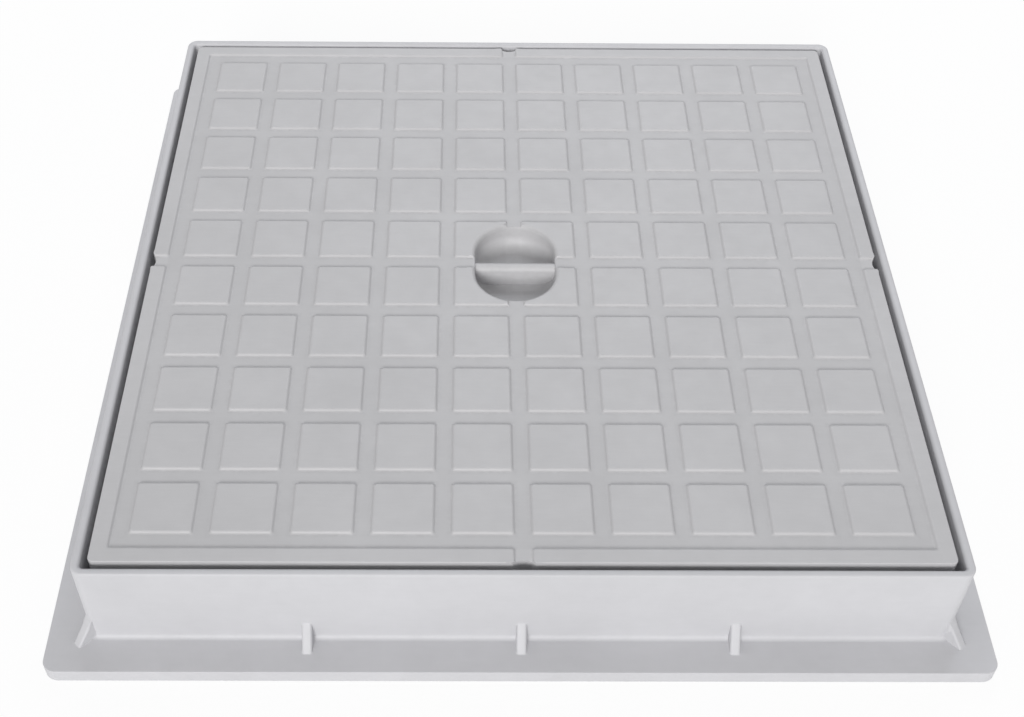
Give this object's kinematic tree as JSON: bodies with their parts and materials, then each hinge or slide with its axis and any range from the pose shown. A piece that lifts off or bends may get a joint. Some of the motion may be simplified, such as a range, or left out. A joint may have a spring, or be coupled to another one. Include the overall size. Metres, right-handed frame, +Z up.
{
  "type": "inspection cover",
  "caption": "Square moulded inspection cover: a loose lid with a raised square tread and a sunk finger grip, flush in a frame with a flanged base.",
  "frame": {"origin": "middle of the base, at the level of the flange's foot", "axes": "+Z up through the lid, X and Y square to the frame's sides; the grip bar runs along X"},
  "size_m": [0.4534, 0.4534, 0.06],
  "materials": {
    "frame_plastic": "matt moulded pale grey",
    "lid_plastic": "matt moulded pale grey, lightly textured tread"
  },
  "bodies": {
    "root": {"frame": "frame_plastic", "lid": "lid_plastic"}
  },
  "joints": []
}
